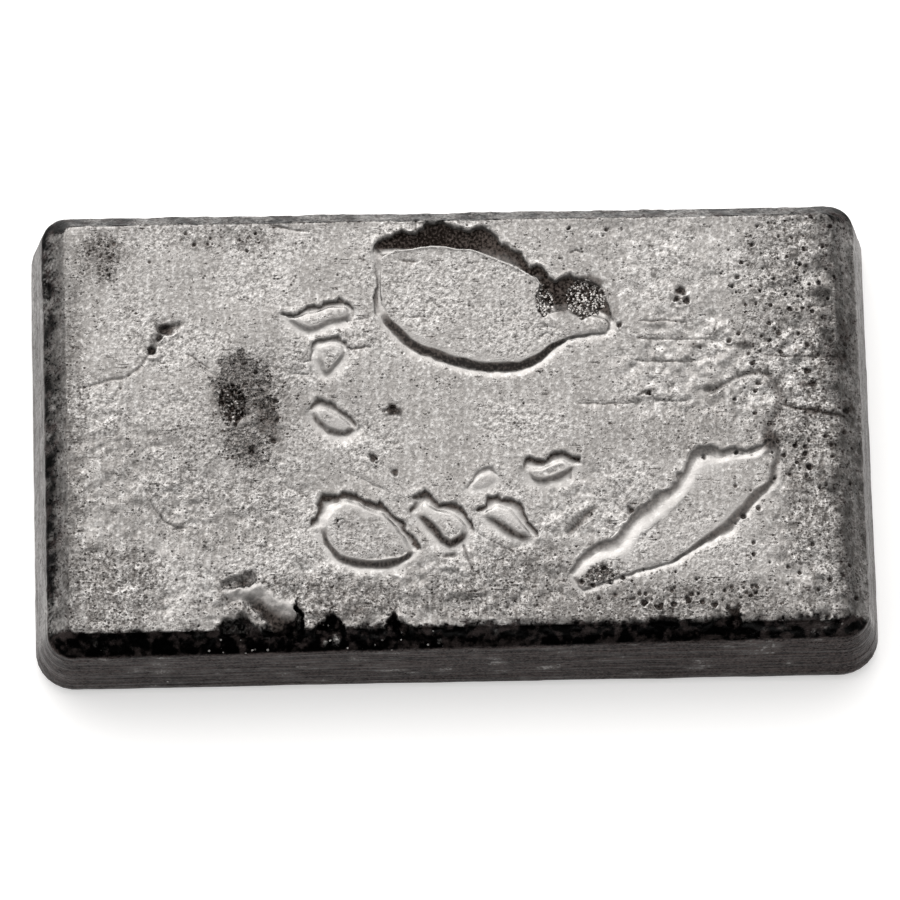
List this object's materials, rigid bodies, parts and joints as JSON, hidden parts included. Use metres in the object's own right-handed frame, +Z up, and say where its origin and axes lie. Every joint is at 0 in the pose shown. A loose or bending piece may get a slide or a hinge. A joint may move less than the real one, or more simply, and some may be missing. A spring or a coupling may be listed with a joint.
{
  "type": "metal ingot",
  "caption": "Small hand-poured silver bar with drafted walls, a bevelled mould face with cold-flow marks and pits, and a dished poured face to rest on.",
  "frame": {"origin": "on the floor under the middle of the bar, at the centre of the base of its bounding box", "axes": "+X along the bar's length, +Y across its width, +Z up out of the mould face"},
  "size_m": [0.079, 0.046, 0.009],
  "materials": {
    "silver": "as-cast silver, satin, with dark tarnish in its pits, flow marks and bevels"
  },
  "bodies": {
    "root": {"ingot": "silver"}
  },
  "joints": []
}
